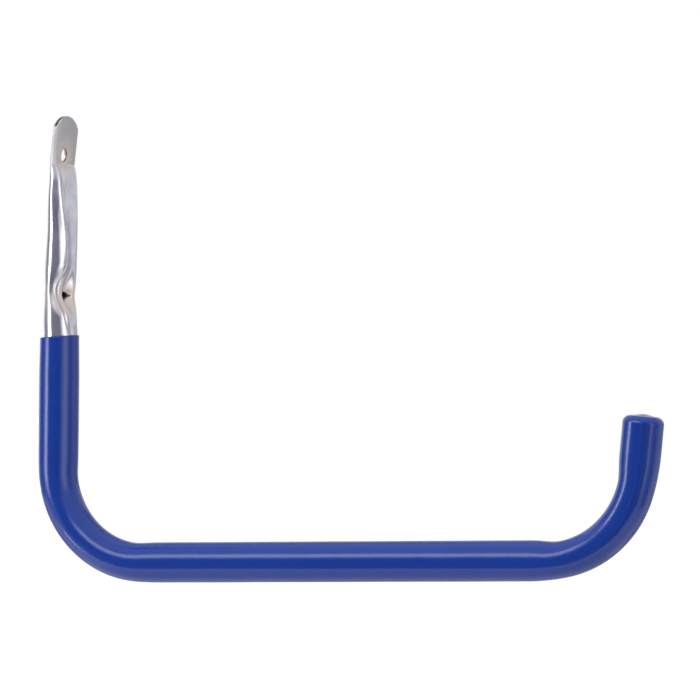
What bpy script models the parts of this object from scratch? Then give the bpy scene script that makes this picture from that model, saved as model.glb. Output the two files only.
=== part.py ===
"""Coated utility hook: a bent steel tube with a crushed, punched end and a dipped vinyl coat.

Frame: metres, +Z up. The wall is the plane X = 0, the arm reaches out along +X and the hook is
symmetric about Y = 0. The origin is on the wall, midway between the two screw holes.
"""
import math

import bmesh
import bpy
from mathutils import Matrix, Vector

# Steel tube
TUBE_DIAMETER = 0.0127
TUBE_WALL = 0.0007
BARE_LENGTH = 0.0811        # from the top end down to the coat's rim
SHANK_LENGTH = 0.0484       # from the coat's rim down to the rear bend
REAR_BEND_RADIUS = 0.0339
REAR_BEND_ANGLE = math.radians(91.5)
ARM_LENGTH = 0.1576         # straight stretch between the bends
FRONT_BEND_RADIUS = 0.0350
FRONT_BEND_ANGLE = math.radians(83.4)
TIP_LENGTH = 0.0185         # straight stretch after the front bend
REAR_BEND_OVALITY = 0.045   # share of its depth that the tube loses in a bend
FRONT_BEND_OVALITY = 0.110

# Crushed end
SEAM_GAP = 0.0002           # slit left between the two walls where they are pressed flat
FLAT_LENGTH = 0.0180        # closed, flat tongue at the top
CRUSH_MARGIN = 0.0005       # round tube left bare between the crushed stretch and the coat
END_ARC_EXCESS = 0.0016     # the top end is sheared to an arc, wider than the tongue by this
TONGUE_DISH = 0.0004        # the tongue is this much thinner in its middle than at its folds
FOLD_START = 0.04           # share of the crushed run over which the side folds set in
SIDE_POWER = 0.53           # how quickly they open below the tongue
VALLEY_DEPTH = 0.0010       # the front stays pressed in by this much between the folds
VALLEY_SET_IN = 0.20        # share of the crushed run over which the valley deepens
VALLEY_RUN_OUT = 0.35       # and the share over which it rises again above the coat
VALLEY_SHOULDER = 0.45      # share of a fold's radius that the valley takes in
DIMPLE_DEPTH = 0.0016       # the lower punch presses the valley's floor in by this much
DIMPLE_PINCH = 0.0005       # and draws the side folds in by this much
DIMPLE_STRETCH = 0.08       # share of the perimeter that goes into the stretched dimple
DIMPLE_REACH = 0.0110       # up and down from the hole's centre
BACK_DISH = 0.0006          # the back lifts off the wall by this much behind the dimple
BACK_PRESS = 0.0005         # the back stays pressed in by this much down to the coat

# Screw holes
HOLE_DIAMETER = 0.0048
HOLE_PITCH = 0.0525         # along the wall
TOP_HOLE_MARGIN = 0.0143    # from the top end down to the top hole's centre

# Vinyl coat
BOND_GAP = 0.0003
COAT_WALL = 0.0008
RIM_THINNING = 0.0002       # the coat starts thinner by this much
RIM_RUN = 0.0150            # and reaches its full wall over this length
RIM_TILT = math.radians(4.6)
RIM_ROUND = 0.0003
COAT_SHIFT = 0.0002         # the coat ran to the outside of the bends before it set
COAT_END_WALL = 0.0012
TIP_ROUND = 0.0027
NUB_RADIUS = 0.0019
NUB_HEIGHT = 0.00045
NUB_PROFILE = ((1.0, 0.0), (0.7, 0.45), (0.35, 0.9))    # shares of its radius and height

# Place on the wall
LEAN = math.radians(6.0)    # the shank's top leans back to the wall by this angle
WALL_CLEARANCE = 0.0001     # between the wall and the back of the coat's rim

# Looks
ZINC_COLOUR = (0.72, 0.71, 0.72)
ZINC_ROUGHNESS = 0.28
VINYL_COLOUR = (0.012, 0.040, 0.250)
VINYL_ROUGHNESS = 0.22

# Facets
RING_POINTS = 36
CROWDING = 0.62             # draws a ring's points towards its two side folds
CRUSH_RINGS = 20
RING_EASE = 1.25            # and sets the crushed rings closer just below the tongue
BEND_RINGS = 12
RIM_RINGS = 2
RIM_STATIONS = (0.2, 0.5, 1.0)
TIP_RINGS = 4
HOLE_POINTS = 32
OUTLINE_STEPS = 60          # fine steps along each quarter of a crushed outline
OUTLINE_HALVINGS = 30
TANGENT_STEP = 0.0001
SHARP_ANGLE = math.radians(38)

# Worked out from the sizes above
TUBE_RADIUS = TUBE_DIAMETER / 2
SLEEVE_RADIUS = TUBE_RADIUS + BOND_GAP
RIM_RADIUS = SLEEVE_RADIUS + COAT_WALL - RIM_THINNING
OPEN_DEPTH = TUBE_DIAMETER - TUBE_WALL - BACK_PRESS
TONGUE_DEPTH = TUBE_WALL + SEAM_GAP + TONGUE_DISH
MID_PERIMETER = math.pi * (TUBE_DIAMETER - TUBE_WALL)
CRUSH_RUN = BARE_LENGTH - CRUSH_MARGIN - FLAT_LENGTH
LOW_HOLE_DROP = TOP_HOLE_MARGIN + HOLE_PITCH * math.cos(LEAN)
MOUNT_DROP = (TOP_HOLE_MARGIN + LOW_HOLE_DROP) / 2
REAR_BEND_START = BARE_LENGTH + SHANK_LENGTH
REAR_BEND_LENGTH = REAR_BEND_RADIUS * REAR_BEND_ANGLE
ARM_START = REAR_BEND_START + REAR_BEND_LENGTH
ARM_END = ARM_START + ARM_LENGTH
FRONT_BEND_LENGTH = FRONT_BEND_RADIUS * FRONT_BEND_ANGLE
TIP_START = ARM_END + FRONT_BEND_LENGTH
TUBE_END = TIP_START + TIP_LENGTH
COAT_END = TUBE_END + BOND_GAP + COAT_END_WALL
BENDS = (
    (REAR_BEND_START, ARM_START, REAR_BEND_OVALITY),
    (ARM_END, TIP_START, FRONT_BEND_OVALITY),
)


def smooth_step(value):
    value = min(max(value, 0.0), 1.0)
    return value * value * (3 - 2 * value)


def bump(offset, reach):
    """One at the middle, falling smoothly to zero at the reach."""
    if abs(offset) >= reach:
        return 0.0
    return 0.5 + 0.5 * math.cos(math.pi * offset / reach)


def path_point(distance):
    """The tube's centre in its own plane, and how far it has turned, that far from the top end."""
    x, z, turn = 0.0, REAR_BEND_START, 0.0
    stretches = (
        (REAR_BEND_START, 0.0),
        (REAR_BEND_LENGTH, REAR_BEND_ANGLE),
        (ARM_LENGTH, 0.0),
        (FRONT_BEND_LENGTH, FRONT_BEND_ANGLE),
        (2 * COAT_END, 0.0),
    )
    left = distance
    for length, angle in stretches:
        run = min(left, length)
        if angle:
            end = turn + angle * run / length
            x += length / angle * (math.cos(turn) - math.cos(end))
            z += length / angle * (math.sin(turn) - math.sin(end))
            turn = end
        else:
            x += run * math.sin(turn)
            z -= run * math.cos(turn)
        left -= run
    return x, z, turn


def place(distance, depth, width):
    """A point of a cross-section: depth towards the inside of the bends, width along Y."""
    x, z, turn = path_point(distance)
    return Vector((x + depth * math.cos(turn), width, z + depth * math.sin(turn)))


def ring_share(index):
    """Share of the way round a ring, from the middle of the back, crowded at the two sides."""
    share = index / RING_POINTS
    return share + CROWDING * math.sin(4 * math.pi * share) / (4 * math.pi)


def round_ring(distance, depth_radius, width_radius, shift=0.0, tilt=0.0):
    """An oval ring across the path; a tilt slides its front up and its back down the path."""
    ring = []
    for index in range(RING_POINTS):
        angle = 2 * math.pi * ring_share(index)
        depth = shift - depth_radius * math.cos(angle)
        width = width_radius * math.sin(angle)
        ring.append(place(distance - depth * tilt, depth, width))
    return ring


def depth_kept(distance):
    """Share of its depth that the tube keeps: all of it, but for the bends."""
    kept = 1.0
    for start, end, ovality in BENDS:
        inside = min(distance - start, end - distance)
        kept -= ovality * smooth_step(inside / TUBE_DIAMETER + 0.5)
    return kept


def bend_stations():
    """Places along the path where the straights and bends need a ring."""
    stations = []
    for start, end, _ in BENDS:
        stations.append(start - TUBE_RADIUS)
        for step in range(BEND_RINGS + 1):
            stations.append(start + (end - start) * step / BEND_RINGS)
        stations.append(end + TUBE_RADIUS)
    return stations


def wall_line(drop):
    """The wall's place in the tube's own plane, that far down from the top end."""
    rim_depth = RIM_RADIUS + COAT_SHIFT
    rim_drop = BARE_LENGTH + rim_depth * math.tan(RIM_TILT)
    return (rim_drop - drop) * math.tan(LEAN) - rim_depth - WALL_CLEARANCE


def fold_outline(depth, valley, half_flat):
    """Mid-line of a tube pressed to a depth: a flat back, two folds and a front with a valley."""
    radius = depth / 2
    outline = []
    for step in range(OUTLINE_STEPS):
        outline.append((0.0, half_flat * step / OUTLINE_STEPS))
    for step in range(2 * OUTLINE_STEPS):
        angle = math.pi * step / (2 * OUTLINE_STEPS)
        outline.append((radius - radius * math.cos(angle), half_flat + radius * math.sin(angle)))
    for step in range(OUTLINE_STEPS):
        outline.append((depth, half_flat * (1 - step / OUTLINE_STEPS)))
    reach = half_flat + VALLEY_SHOULDER * radius
    pressed = []
    for x, y in outline + [(depth, 0.0)]:
        if x > radius:
            x -= valley * bump(y, reach)
        pressed.append((x, y))
    mirrored = [(x, -y) for x, y in reversed(pressed[:-1])]
    return pressed + mirrored


def outline_length(outline):
    return sum(math.dist(a, b) for a, b in zip(outline, outline[1:]))


def crushed_outline(depth, valley, perimeter):
    """The fold outline that has the given perimeter, and half its flat width."""
    low, high = 0.0, perimeter / 4
    for _ in range(OUTLINE_HALVINGS):
        middle = (low + high) / 2
        if outline_length(fold_outline(depth, valley, middle)) > perimeter:
            high = middle
        else:
            low = middle
    return fold_outline(depth, valley, low), low


def walk(outline, lengths, goal):
    """The point that lies a given length along a closed outline."""
    goal %= lengths[-1]
    after = next(index for index, length in enumerate(lengths) if length > goal)
    a, b = outline[after - 1], outline[after]
    share = (goal - lengths[after - 1]) / (lengths[after] - lengths[after - 1])
    return a[0] + (b[0] - a[0]) * share, a[1] + (b[1] - a[1]) * share


def back_line(drop):
    """Mid-line of the back wall: flat on the die, dished behind the dimple, then near round."""
    dish = BACK_DISH * bump(drop - LOW_HOLE_DROP, DIMPLE_REACH)
    return max(wall_line(drop), BACK_PRESS - TUBE_RADIUS) + dish + TUBE_WALL / 2


def crush_state(drop):
    """Mid-line depth at the folds, valley and perimeter, that far down from the top end."""
    opened = min(max(drop - FLAT_LENGTH, 0.0) / CRUSH_RUN, 1.0)
    eased = opened * opened * (1 + FOLD_START) / (opened + FOLD_START)
    depth = TONGUE_DEPTH + (OPEN_DEPTH - TONGUE_DEPTH) * eased ** SIDE_POWER
    set_in = smooth_step(opened / VALLEY_SET_IN)
    run_out = smooth_step((1 - opened) / VALLEY_RUN_OUT)
    valley = TONGUE_DISH + (VALLEY_DEPTH * run_out - TONGUE_DISH) * set_in
    pinch = bump(drop - LOW_HOLE_DROP, DIMPLE_REACH)
    depth -= DIMPLE_PINCH * pinch
    valley += DIMPLE_DEPTH * pinch
    return depth, valley, MID_PERIMETER * (1 - DIMPLE_STRETCH * pinch)


def crushed_rings(drop, end_arc=None):
    """Outer and inner ring of the crushed tube; the top pair follows the sheared arc."""
    outline, _ = crushed_outline(*crush_state(drop))
    lengths = [0.0]
    for a, b in zip(outline, outline[1:]):
        lengths.append(lengths[-1] + math.dist(a, b))
    outer, inner = [], []
    for index in range(RING_POINTS):
        goal = ring_share(index) * lengths[-1]
        x, y = walk(outline, lengths, goal)
        before = walk(outline, lengths, goal - TANGENT_STEP)
        after = walk(outline, lengths, goal + TANGENT_STEP)
        along = Vector((after[0] - before[0], after[1] - before[1])).normalized()
        for ring, side in ((outer, 0.5), (inner, -0.5)):
            wide = y + side * TUBE_WALL * along.x
            below = drop
            if end_arc:
                below += end_arc - math.sqrt(end_arc ** 2 - wide ** 2)
            deep = back_line(below) + x - side * TUBE_WALL * along.y
            ring.append(place(below, deep, wide))
    return outer, inner


def loft(name, rings, material, looped=False):
    """A closed skin through rings of points; a ring of one point closes an end."""
    mesh = bpy.data.meshes.new(name)
    skin = bmesh.new()
    rows = [[skin.verts.new(point) for point in ring] for ring in rings]
    if looped:
        rows.append(rows[0])
    for row, following in zip(rows, rows[1:]):
        for index in range(RING_POINTS):
            turned = (index + 1) % RING_POINTS
            corners = [row[index % len(row)], row[turned % len(row)]]
            corners += [following[turned % len(following)], following[index % len(following)]]
            skin.faces.new(list(dict.fromkeys(corners)))
    if skin.calc_volume(signed=True) < 0:
        bmesh.ops.reverse_faces(skin, faces=skin.faces)
    skin.to_mesh(mesh)
    skin.free()
    mesh.shade_smooth()
    mesh.set_sharp_from_angle(angle=SHARP_ANGLE)
    mesh.materials.append(material)
    return bpy.data.objects.new(name, mesh)


def make_material(name, colour, roughness, metallic):
    material = bpy.data.materials.new(name)
    material.use_nodes = True
    shader = material.node_tree.nodes["Principled BSDF"]
    shader.inputs["Base Color"].default_value = (*colour, 1.0)
    shader.inputs["Roughness"].default_value = roughness
    shader.inputs["Metallic"].default_value = metallic
    return material


def make_steel_tube():
    """Round tube, bent twice, with its top crushed against a flat back and left open."""
    _, half_flat = crushed_outline(*crush_state(0.0))
    tongue_half_width = half_flat + (TONGUE_DEPTH + TUBE_WALL) / 2
    end_arc = tongue_half_width + END_ARC_EXCESS
    arc_drop = end_arc - math.sqrt(end_arc ** 2 - tongue_half_width ** 2)
    pairs = [crushed_rings(0.0, end_arc)]
    pairs.append(crushed_rings(arc_drop + TUBE_WALL))
    for step in range(CRUSH_RINGS + 1):
        share = (step / CRUSH_RINGS) ** RING_EASE
        pairs.append(crushed_rings(FLAT_LENGTH + CRUSH_RUN * share))
    for distance in bend_stations() + [TUBE_END]:
        kept = depth_kept(distance)
        bore_radius = TUBE_RADIUS - TUBE_WALL
        outer = round_ring(distance, TUBE_RADIUS * kept, TUBE_RADIUS)
        inner = round_ring(distance, TUBE_RADIUS * kept - TUBE_WALL, bore_radius)
        pairs.append((outer, inner))
    rings = [outer for outer, _ in pairs] + [inner for _, inner in reversed(pairs)]
    zinc = make_material("zinc_plated_steel", ZINC_COLOUR, ZINC_ROUGHNESS, 1.0)
    return loft("steel_tube", rings, zinc, looped=True)


def coat_ring(distance):
    """Outer ring of the coat: thinner by its rim, oval in the bends, thicker at their outside."""
    thinning = RIM_THINNING * (1 - smooth_step((distance - BARE_LENGTH) / RIM_RUN))
    wall = BOND_GAP + COAT_WALL - thinning
    depth_radius = TUBE_RADIUS * depth_kept(distance) + wall
    return round_ring(distance, depth_radius, TUBE_RADIUS + wall, shift=-COAT_SHIFT)


def make_vinyl_coating():
    """Dipped sleeve over the tube: an open rim on the shank, a closed tip with a drip nub."""
    slope = math.tan(RIM_TILT)
    along = bend_stations()
    inner_end = TUBE_END + BOND_GAP
    rings = [[place(inner_end, 0.0, 0.0)]]
    rings.append(round_ring(inner_end, SLEEVE_RADIUS, SLEEVE_RADIUS))
    for distance in reversed(along):
        depth_radius = TUBE_RADIUS * depth_kept(distance) + BOND_GAP
        rings.append(round_ring(distance, depth_radius, SLEEVE_RADIUS))
    rings.append(round_ring(BARE_LENGTH, SLEEVE_RADIUS, SLEEVE_RADIUS, tilt=slope))
    for step in range(RIM_RINGS + 1):
        angle = math.pi / 2 * step / RIM_RINGS
        radius = RIM_RADIUS - RIM_ROUND * (1 - math.sin(angle))
        distance = BARE_LENGTH + RIM_ROUND * (1 - math.cos(angle))
        rings.append(round_ring(distance, radius, radius, shift=-COAT_SHIFT, tilt=slope))
    for share in RIM_STATIONS:
        rings.append(coat_ring(BARE_LENGTH + RIM_RUN * share))
    for distance in along:
        rings.append(coat_ring(distance))
    full_radius = SLEEVE_RADIUS + COAT_WALL
    for step in range(TIP_RINGS + 1):
        angle = math.pi / 2 * step / TIP_RINGS
        radius = full_radius - TIP_ROUND * (1 - math.cos(angle))
        distance = COAT_END - TIP_ROUND * (1 - math.sin(angle))
        rings.append(round_ring(distance, radius, radius, shift=-COAT_SHIFT))
    for radius_share, height_share in NUB_PROFILE:
        radius = NUB_RADIUS * radius_share
        distance = COAT_END + NUB_HEIGHT * height_share
        rings.append(round_ring(distance, radius, radius, shift=-COAT_SHIFT))
    rings.append([place(COAT_END + NUB_HEIGHT, -COAT_SHIFT, 0.0)])
    vinyl = make_material("dipped_vinyl", VINYL_COLOUR, VINYL_ROUGHNESS, 0.0)
    return loft("vinyl_coating", rings, vinyl)


def punch_hole(tube, name, height, cutters):
    """A screw hole through both walls of the crushed end, square to the wall."""
    length = 3 * TUBE_DIAMETER
    bpy.ops.mesh.primitive_cylinder_add(
        vertices=HOLE_POINTS, radius=HOLE_DIAMETER / 2, depth=length,
        location=(0.0, 0.0, height), rotation=(0.0, math.pi / 2, 0.0))
    cutter = bpy.context.active_object
    cutter.name = name
    cutter.hide_render = True
    cutter.display_type = "WIRE"
    for collection in list(cutter.users_collection):
        collection.objects.unlink(cutter)
    cutters.objects.link(cutter)
    cut = tube.modifiers.new(name, "BOOLEAN")
    cut.operation = "DIFFERENCE"
    cut.solver = "EXACT"
    cut.object = cutter


def main():
    for item in list(bpy.data.objects):
        bpy.data.objects.remove(item, do_unlink=True)
    hook = bpy.data.collections.new("coated_utility_hook")
    cutters = bpy.data.collections.new("cutters")
    bpy.context.scene.collection.children.link(hook)
    bpy.context.scene.collection.children.link(cutters)

    # The tube is drawn with an upright shank, and this empty stands it on the wall.
    stand = bpy.data.objects.new("wall_stand", None)
    turn = Matrix.Rotation(-LEAN, 4, "Y")
    middle = place(MOUNT_DROP, wall_line(MOUNT_DROP), 0.0)
    stand.rotation_euler = (0.0, -LEAN, 0.0)
    stand.location = -(turn @ middle)
    hook.objects.link(stand)

    tube = make_steel_tube()
    coating = make_vinyl_coating()
    for piece in (tube, coating):
        hook.objects.link(piece)
        piece.parent = stand
    punch_hole(tube, "top_hole", HOLE_PITCH / 2, cutters)
    punch_hole(tube, "low_hole", -HOLE_PITCH / 2, cutters)


main()
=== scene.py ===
import bisect
import math

import bmesh
import bpy
from mathutils import Matrix, Vector, noise


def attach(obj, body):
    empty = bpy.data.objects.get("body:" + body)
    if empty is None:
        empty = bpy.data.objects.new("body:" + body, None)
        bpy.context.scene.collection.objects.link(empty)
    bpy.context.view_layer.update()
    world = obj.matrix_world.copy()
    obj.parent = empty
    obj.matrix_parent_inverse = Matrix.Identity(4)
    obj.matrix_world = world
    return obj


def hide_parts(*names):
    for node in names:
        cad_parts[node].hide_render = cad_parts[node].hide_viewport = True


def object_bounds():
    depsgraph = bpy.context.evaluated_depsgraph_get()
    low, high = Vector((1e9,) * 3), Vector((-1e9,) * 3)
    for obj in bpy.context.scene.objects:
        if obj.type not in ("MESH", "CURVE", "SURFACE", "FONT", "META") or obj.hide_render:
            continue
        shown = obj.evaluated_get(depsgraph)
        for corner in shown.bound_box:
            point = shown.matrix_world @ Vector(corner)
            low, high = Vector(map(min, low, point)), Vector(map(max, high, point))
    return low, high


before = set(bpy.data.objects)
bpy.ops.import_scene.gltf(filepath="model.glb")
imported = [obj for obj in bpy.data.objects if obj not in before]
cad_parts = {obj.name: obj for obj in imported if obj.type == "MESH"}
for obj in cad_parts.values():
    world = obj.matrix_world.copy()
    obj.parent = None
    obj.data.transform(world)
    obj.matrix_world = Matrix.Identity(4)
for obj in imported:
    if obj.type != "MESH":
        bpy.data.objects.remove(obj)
cad_low, cad_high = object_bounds()


# Bent tube
# The hook is one length of half inch steel tube, bent twice in one plane. Every place on it is
# given by its distance from the sheared top end, and by its depth and width across the tube.
# The tube is laid out with its shank upright, and is then leant back until it lies on the wall.
TUBE_DIAMETER = 0.0127
TUBE_WALL = 0.0007
TUBE_RADIUS = TUBE_DIAMETER / 2
BORE_RADIUS = TUBE_RADIUS - TUBE_WALL
BARE_LENGTH = 0.0811        # from the top end down to the coat's rim
SHANK_LENGTH = 0.0484       # from the coat's rim down to the rear bend
REAR_BEND_RADIUS = 0.0339
REAR_BEND_ANGLE = math.radians(91.5)
REAR_BEND_OVALITY = 0.045   # share of its depth that the tube loses in a bend
ARM_LENGTH = 0.1576
FRONT_BEND_RADIUS = 0.0350
FRONT_BEND_ANGLE = math.radians(83.4)
FRONT_BEND_OVALITY = 0.110
TIP_LENGTH = 0.0185
LEAN = math.radians(6.0)
REAR_BEND_START = BARE_LENGTH + SHANK_LENGTH
REAR_BEND_LENGTH = REAR_BEND_RADIUS * REAR_BEND_ANGLE
ARM_START = REAR_BEND_START + REAR_BEND_LENGTH
ARM_END = ARM_START + ARM_LENGTH
FRONT_BEND_LENGTH = FRONT_BEND_RADIUS * FRONT_BEND_ANGLE
TIP_START = ARM_END + FRONT_BEND_LENGTH
TUBE_END = TIP_START + TIP_LENGTH
BENDS = (
    (REAR_BEND_START, ARM_START, REAR_BEND_OVALITY),
    (ARM_END, TIP_START, FRONT_BEND_OVALITY),
)
STRAIGHT_STEP = 0.0060      # between rings on the straights
BEND_STEP = 0.0016          # and in the bends

# The coat's rim is the lowest point that touches the wall, and so sets where the wall lies.
BOND_GAP = 0.0003
COAT_WALL = 0.0008
RIM_THINNING = 0.0002
RIM_TILT = math.tan(math.radians(4.6))
COAT_SHIFT = 0.0002         # the coat ran to the outside of the bends before it set
WALL_CLEARANCE = 0.0001
SLEEVE_RADIUS = TUBE_RADIUS + BOND_GAP
COAT_RADIUS = SLEEVE_RADIUS + COAT_WALL
RIM_RADIUS = COAT_RADIUS - RIM_THINNING

# Two screw holes, one under the other on the wall's upright line through the origin.
HOLE_RADIUS = 0.0024
HOLE_PITCH = 0.0525
TOP_HOLE_DROP = 0.0143
LOW_HOLE_DROP = TOP_HOLE_DROP + HOLE_PITCH * math.cos(LEAN)
MOUNT_DROP = (TOP_HOLE_DROP + LOW_HOLE_DROP) / 2


def smooth_step(value):
    value = min(max(value, 0.0), 1.0)
    return value * value * (3 - 2 * value)


def bump(offset, reach):
    """One at the middle, falling smoothly to zero at the reach."""
    if abs(offset) >= reach:
        return 0.0
    return 0.5 + 0.5 * math.cos(math.pi * offset / reach)


def wall_line(drop):
    """The wall's place across the upright tube, that far down from the top end."""
    rim_depth = RIM_RADIUS + COAT_SHIFT
    rim_drop = BARE_LENGTH + rim_depth * RIM_TILT
    return (rim_drop - drop) * math.tan(LEAN) - rim_depth - WALL_CLEARANCE


def upright_point(distance, depth, width):
    """A point of the upright tube: depth towards the inside of the bends, width along Y."""
    x, z, turn = 0.0, REAR_BEND_START, 0.0
    left = distance
    for length, angle in (
            (REAR_BEND_START, 0.0), (REAR_BEND_LENGTH, REAR_BEND_ANGLE), (ARM_LENGTH, 0.0),
            (FRONT_BEND_LENGTH, FRONT_BEND_ANGLE), (2 * TIP_LENGTH, 0.0)):
        run = min(left, length)
        if angle:
            end = turn + angle * run / length
            x += length / angle * (math.cos(turn) - math.cos(end))
            z += length / angle * (math.sin(turn) - math.sin(end))
            turn = end
        else:
            x += run * math.sin(turn)
            z -= run * math.cos(turn)
        left -= run
    return Vector((x + depth * math.cos(turn), width, z + depth * math.sin(turn)))


lean_back = Matrix.Rotation(-LEAN, 4, "Y")
to_wall = Matrix.Translation(-(lean_back @ upright_point(MOUNT_DROP, wall_line(MOUNT_DROP), 0.0)))
on_wall = to_wall @ lean_back


def depth_kept(distance):
    """Share of its depth that the tube keeps: all of it, but for the bends."""
    kept = 1.0
    for start, end, ovality in BENDS:
        inside = min(distance - start, end - distance)
        kept -= ovality * smooth_step(inside / TUBE_DIAMETER + 0.5)
    return kept


def stations(start, end, step):
    """Evenly spread distances from start to end, both included."""
    count = max(round((end - start) / step), 1)
    return [start + (end - start) * index / count for index in range(count + 1)]


def round_stretch(start):
    """Ring distances from a place on the shank to the end of the front bend."""
    along = stations(start, REAR_BEND_START, STRAIGHT_STEP)
    along += stations(REAR_BEND_START, ARM_START, BEND_STEP)[1:]
    along += stations(ARM_START, ARM_END, STRAIGHT_STEP)[1:]
    along += stations(ARM_END, TIP_START, BEND_STEP)[1:]
    return along


# Steel tube
# Bright zinc-plated steel. The bare end was pressed against a flat die into a closed tongue, which
# opens through two side folds and a shallow valley to the round tube, and was then sheared to an
# arc and punched for two screws. The lower punch dimpled the valley and tore the hole's rim.
RING_POINTS = 176
OUTER_SKIN = 0.4995         # share of the wall outside its mid-line, a hair inside the solid
INNER_SKIN = -0.5           # and inside it
CROWDING = 0.55             # draws a ring's points towards its two side folds
CRUSH_STEP = 0.0005         # between rings on the crushed end
OUTLINE_STEPS = 60
OUTLINE_HALVINGS = 26
TANGENT_STEP = 0.00004
SEAM_GAP = 0.0002
SEAM_PRESSED = 0.22         # share of its gap that the tongue's inner seam keeps
SEAM_OPENS = 0.6            # share of the tongue's length below which the seam opens again
TONGUE_LENGTH = 0.0180
TONGUE_DISH = 0.0004        # the tongue is this much thinner in its middle than at its folds
END_ARC_EXCESS = 0.0016     # the top is sheared to an arc, wider than the tongue by this
END_ARC_SHIFT = -0.0005     # and a little off the middle
END_EDGE = 0.00012          # rounding of the sheared edge
LIP_DROP = 0.3              # the rounding's middle ring: its share of the edge, and of the wall
LIP_SHARE = 0.42
LAND_SHARE = 0.3            # and the flat land between the two roundings
FOLD_START = 0.04           # share of the crushed run over which the folds begin to open
FOLD_POWER = 0.53           # they open quickly below the tongue, and slowly near the coat
VALLEY_DEPTH = 0.0010
VALLEY_SET_IN = 0.20        # shares of the crushed run
VALLEY_RUN_OUT = 0.35
VALLEY_SHOULDER = 0.45      # share of a fold's radius that the valley takes in
THROAT_DEPTH = 0.0004       # the valley is deeper where it leaves the tongue
THROAT_DROP = 0.0265
THROAT_REACH = 0.0080
DIMPLE_DEPTH = 0.0016
DIMPLE_PINCH = 0.0005
DIMPLE_STRETCH = 0.08
DIMPLE_REACH = 0.0110
NEAR_PINCH = 0.0026         # the fold on the -Y side was pushed in further by the punch
NEAR_PINCH_DROP = 0.0640
NEAR_PINCH_REACH = 0.0105
NEAR_PINCH_BAND = 0.0085
NEAR_SWELL = 0.0008         # where the tongue ends that fold is thicker than the metal beside it
NEAR_SWELL_DROP = 0.0185
NEAR_SWELL_REACH = 0.0095
NEAR_SWELL_BAND = 0.0030
HOLLOW_DEPTH = 0.0007       # the punch drove a narrower hollow into the dimple
HOLLOW_REACH = 0.0058
NEAR_SPREAD = 0.0009        # that fold was squeezed out wide below the tongue and by the punch
NEAR_SPREAD_DROP = 0.0310
NEAR_SPREAD_REACH = 0.0130
PUNCH_SPREAD = 0.0006
PUNCH_SPREAD_DROP = 0.0680
PUNCH_SPREAD_REACH = 0.0110
SPREAD_BAND = TUBE_RADIUS / 1.5     # the spread grows over this band, from the middle outwards
CREASE_DEPTH = 0.00030      # a crease runs down the near fold, from the tongue to the coat
CREASE_STEEP = 0.0006
CREASE_GENTLE = 0.0014
CREASE_SHARE = 0.64         # where the crease lies on a ring, and how far points are drawn to it
CREASE_DRAW = 0.0075
CREASE_BEARING = math.radians(86)
CREASE_DRIFT = math.radians(34)
CREASE_SWERVE = math.radians(12)
CREASE_LEAD = 1.2           # it turns this many of the dimple's reaches above the punch
CREASE_START = 0.0185
CREASE_FADE = 0.0120        # it dies out over this length above the coat
RIDGE_HEIGHT = 0.00040      # the metal on its near side stands up a little before it drops in
RIDGE_TOP = 0.0006
RIDGE_REACH = 0.0026
RIDGE_END = 0.0570          # the ridge dies out where the punch drew the fold in
RIDGE_FADE = 0.0120
BACK_DISH = 0.0006          # the back is dished behind the dimple
BACK_PRESS = 0.0005         # and pressed in by this where the tube has opened
CRUSH_STOP = 0.0005         # the crushed end stops this far above the coat's rim
WAVER = 0.00005             # unevenness of the pressed metal
WAVER_SPACING = 0.0070
TOP_RIM_ROLL = 0.00025      # a hole's rim is dragged in by the punch
LOW_RIM_ROLL = 0.00035
RIM_ROLL_REACH = 0.0016
TONGUE_DEPTH = TUBE_WALL + SEAM_GAP + TONGUE_DISH
OPEN_DEPTH = TUBE_DIAMETER - TUBE_WALL - BACK_PRESS
MID_PERIMETER = math.pi * (TUBE_DIAMETER - TUBE_WALL)
CRUSH_END = BARE_LENGTH - CRUSH_STOP
CRUSH_RUN = CRUSH_END - TONGUE_LENGTH


def fold_outline(depth, valley, half_flat):
    """Mid-line of a tube pressed to a depth: a flat back, two folds and a front with a valley."""
    radius = depth / 2
    outline = []
    for step in range(OUTLINE_STEPS):
        outline.append((0.0, half_flat * step / OUTLINE_STEPS))
    for step in range(2 * OUTLINE_STEPS):
        angle = math.pi * step / (2 * OUTLINE_STEPS)
        outline.append((radius - radius * math.cos(angle), half_flat + radius * math.sin(angle)))
    for step in range(OUTLINE_STEPS):
        outline.append((depth, half_flat * (1 - step / OUTLINE_STEPS)))
    reach = half_flat + VALLEY_SHOULDER * radius
    pressed = []
    for x, y in outline + [(depth, 0.0)]:
        if x > radius:
            x -= valley * bump(y, reach)
        pressed.append((x, y))
    mirrored = [(x, -y) for x, y in reversed(pressed[:-1])]
    return pressed + mirrored


def outline_length(outline):
    return sum(math.dist(a, b) for a, b in zip(outline, outline[1:]))


def crushed_outline(depth, valley, perimeter):
    """The fold outline that has the given perimeter, and half its flat width."""
    low, high = 0.0, perimeter / 4
    for _ in range(OUTLINE_HALVINGS):
        middle = (low + high) / 2
        if outline_length(fold_outline(depth, valley, middle)) > perimeter:
            high = middle
        else:
            low = middle
    return fold_outline(depth, valley, low), low


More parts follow.
